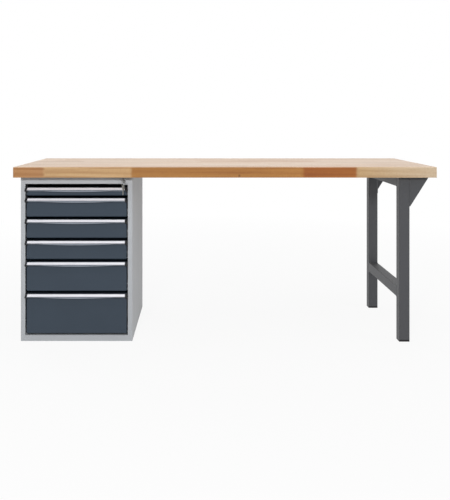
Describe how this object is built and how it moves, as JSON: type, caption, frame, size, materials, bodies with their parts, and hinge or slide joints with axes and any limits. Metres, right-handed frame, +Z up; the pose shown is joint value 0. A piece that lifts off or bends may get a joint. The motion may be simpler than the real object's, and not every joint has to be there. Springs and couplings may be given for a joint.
{
  "type": "workbench",
  "caption": "Workbench with a thick beech worktop on a grey drawer cabinet at the left and a welded square-tube leg frame with gussets at the right.",
  "frame": {"origin": "on the floor, under the centre of the worktop", "axes": "+X to the right along the front edge, +Y to the back, +Z up"},
  "size_m": [2, 0.7, 0.84],
  "materials": {
    "beech": "oiled solid beech staves",
    "frame_grey": "matt powder coat, dark grey",
    "cabinet_grey": "fine-textured powder coat, light grey",
    "drawer_blue_grey": "smooth powder coat, blue grey",
    "aluminium": "satin anodised",
    "black_plastic": "fine-grained moulded plastic",
    "zinc_steel": "bright zinc plate",
    "chrome": "polished",
    "nickel": "nickel plate"
  },
  "bodies": {
    "root": {"worktop": "beech", "worktop_screws": "zinc_steel", "leg_front_post": "frame_grey", "leg_rear_post": "frame_grey", "leg_top_beam": "frame_grey", "leg_lower_rail": "frame_grey", "leg_gusset_front": "frame_grey", "leg_gusset_rear": "frame_grey", "leg_foot_caps": "black_plastic", "cabinet_side_left": "cabinet_grey", "cabinet_side_right": "cabinet_grey", "cabinet_top": "cabinet_grey", "cabinet_base": "cabinet_grey", "cabinet_back": "cabinet_grey", "cabinet_uprights": "zinc_steel", "fixed_runners": "zinc_steel", "lock_housing": "chrome", "lock_nut": "chrome"},
    "drawer_1": {"drawer_1_front": "drawer_blue_grey", "drawer_1_box": "drawer_blue_grey", "drawer_1_grip": "aluminium", "drawer_1_grip_caps": "black_plastic", "drawer_1_runners": "zinc_steel"},
    "drawer_1_middle": {"drawer_1_middle_runners": "zinc_steel"},
    "drawer_2": {"drawer_2_front": "drawer_blue_grey", "drawer_2_box": "drawer_blue_grey", "drawer_2_grip": "aluminium", "drawer_2_grip_caps": "black_plastic", "drawer_2_runners": "zinc_steel"},
    "drawer_2_middle": {"drawer_2_middle_runners": "zinc_steel"},
    "drawer_3": {"drawer_3_front": "drawer_blue_grey", "drawer_3_box": "drawer_blue_grey", "drawer_3_grip": "aluminium", "drawer_3_grip_caps": "black_plastic", "drawer_3_runners": "zinc_steel"},
    "drawer_3_middle": {"drawer_3_middle_runners": "zinc_steel"},
    "drawer_4": {"drawer_4_front": "drawer_blue_grey", "drawer_4_box": "drawer_blue_grey", "drawer_4_grip": "aluminium", "drawer_4_grip_caps": "black_plastic", "drawer_4_runners": "zinc_steel"},
    "drawer_4_middle": {"drawer_4_middle_runners": "zinc_steel"},
    "drawer_5": {"drawer_5_front": "drawer_blue_grey", "drawer_5_box": "drawer_blue_grey", "drawer_5_grip": "aluminium", "drawer_5_grip_caps": "black_plastic", "drawer_5_runners": "zinc_steel"},
    "drawer_5_middle": {"drawer_5_middle_runners": "zinc_steel"},
    "drawer_6": {"drawer_6_front": "drawer_blue_grey", "drawer_6_box": "drawer_blue_grey", "drawer_6_grip": "aluminium", "drawer_6_grip_caps": "black_plastic", "drawer_6_runners": "zinc_steel"},
    "drawer_6_middle": {"drawer_6_middle_runners": "zinc_steel"},
    "lock": {"lock_plug": "chrome", "lock_cam": "zinc_steel", "key_in_lock": "nickel"},
    "key_ring": {"key_ring": "nickel"},
    "locking_bar": {"locking_bar": "zinc_steel"}
  },
  "joints": [
    {"name": "drawer_1_slide", "type": "slide", "parent": "root", "child": "drawer_1", "axis": [0, -1, 0], "range_m": [0, 0.5]},
    {"name": "drawer_1_middle_slide", "type": "slide", "parent": "root", "child": "drawer_1_middle", "axis": [0, -1, 0], "range_m": [0, 0.25]},
    {"name": "drawer_2_slide", "type": "slide", "parent": "root", "child": "drawer_2", "axis": [0, -1, 0], "range_m": [0, 0.5]},
    {"name": "drawer_2_middle_slide", "type": "slide", "parent": "root", "child": "drawer_2_middle", "axis": [0, -1, 0], "range_m": [0, 0.25]},
    {"name": "drawer_3_slide", "type": "slide", "parent": "root", "child": "drawer_3", "axis": [0, -1, 0], "range_m": [0, 0.5]},
    {"name": "drawer_3_middle_slide", "type": "slide", "parent": "root", "child": "drawer_3_middle", "axis": [0, -1, 0], "range_m": [0, 0.25]},
    {"name": "drawer_4_slide", "type": "slide", "parent": "root", "child": "drawer_4", "axis": [0, -1, 0], "range_m": [0, 0.5]},
    {"name": "drawer_4_middle_slide", "type": "slide", "parent": "root", "child": "drawer_4_middle", "axis": [0, -1, 0], "range_m": [0, 0.25]},
    {"name": "drawer_5_slide", "type": "slide", "parent": "root", "child": "drawer_5", "axis": [0, -1, 0], "range_m": [0, 0.5]},
    {"name": "drawer_5_middle_slide", "type": "slide", "parent": "root", "child": "drawer_5_middle", "axis": [0, -1, 0], "range_m": [0, 0.25]},
    {"name": "drawer_6_slide", "type": "slide", "parent": "root", "child": "drawer_6", "axis": [0, -1, 0], "range_m": [0, 0.5]},
    {"name": "drawer_6_middle_slide", "type": "slide", "parent": "root", "child": "drawer_6_middle", "axis": [0, -1, 0], "range_m": [0, 0.25]},
    {"name": "lock_turn", "type": "hinge", "parent": "root", "child": "lock", "pos_m": [-0.4845, -0.29, 0.771], "axis": [0, -1, 0], "range_deg": [0, 90]},
    {"name": "locking_bar_lift", "type": "slide", "parent": "root", "child": "locking_bar", "axis": [0, 0, 1], "range_m": [0, 0.012]},
    {"name": "key_ring_swing", "type": "hinge", "parent": "lock", "child": "key_ring", "pos_m": [-0.4845, -0.3154, 0.771], "axis": [-1, 0, 0], "range_deg": [-30, 90]}
  ],
  "couplings": [
    {"joint": "drawer_1_middle_slide", "follows": "drawer_1_slide", "ratio": 0.5},
    {"joint": "drawer_2_middle_slide", "follows": "drawer_2_slide", "ratio": 0.5},
    {"joint": "drawer_3_middle_slide", "follows": "drawer_3_slide", "ratio": 0.5},
    {"joint": "drawer_4_middle_slide", "follows": "drawer_4_slide", "ratio": 0.5},
    {"joint": "drawer_5_middle_slide", "follows": "drawer_5_slide", "ratio": 0.5},
    {"joint": "drawer_6_middle_slide", "follows": "drawer_6_slide", "ratio": 0.5},
    {"joint": "lock_turn", "follows": "locking_bar_lift", "rad_per_m": 130.8}
  ]
}
